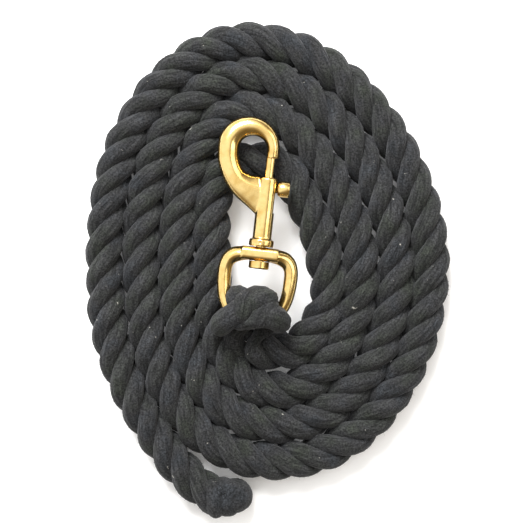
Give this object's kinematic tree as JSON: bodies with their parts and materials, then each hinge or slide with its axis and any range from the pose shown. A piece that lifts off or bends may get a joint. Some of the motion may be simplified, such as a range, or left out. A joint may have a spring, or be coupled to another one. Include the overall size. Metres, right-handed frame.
{
  "type": "lead rope",
  "caption": "Coiled charcoal three-strand cotton lead rope with an eye-spliced brass swivel bolt snap and a back-spliced end.",
  "frame": {"origin": "bottom centre of the whole part's box, on the floor that the coil lies on", "axes": "+Z up; +Y along the coil's long way, towards the snap's hook end; +X to the right seen from above with +Y up"},
  "size_m": [0.191, 0.2618, 0.0446],
  "materials": {
    "cotton_rope": "matte twisted cotton",
    "brass": "polished cast brass",
    "spring_steel": "bright wire"
  },
  "bodies": {
    "rope": {"rope_coil": "cotton_rope", "rope_tail": "cotton_rope", "tail_knob": "cotton_rope", "rope_eye": "cotton_rope", "splice_throat": "cotton_rope"},
    "ring": {"swivel_ring": "brass"},
    "snap": {"snap_body": "brass", "swivel_pin": "brass", "bolt_spring": "spring_steel"},
    "bolt": {"bolt": "brass", "thumb_stud": "brass"}
  },
  "joints": [
    {"name": "ring_hinge", "type": "hinge", "parent": "rope", "child": "ring", "pos_m": [-0.008, -0.0251, 0.027], "axis": [0.9936, -0.1132, 0], "range_deg": [0, 95]},
    {"name": "snap_swivel", "type": "hinge", "parent": "ring", "child": "snap", "pos_m": [-0.00415, 0.00868, 0.027], "axis": [0.1132, 0.9936, 0], "range_deg": [0, 180]},
    {"name": "bolt_slide", "type": "slide", "parent": "snap", "child": "bolt", "axis": [-0.1132, -0.9936, 0], "range_m": [0, 0.0105], "stiffness_N_per_m": 350, "springref_m": -0.006, "deforming": ["bolt_spring"]}
  ]
}
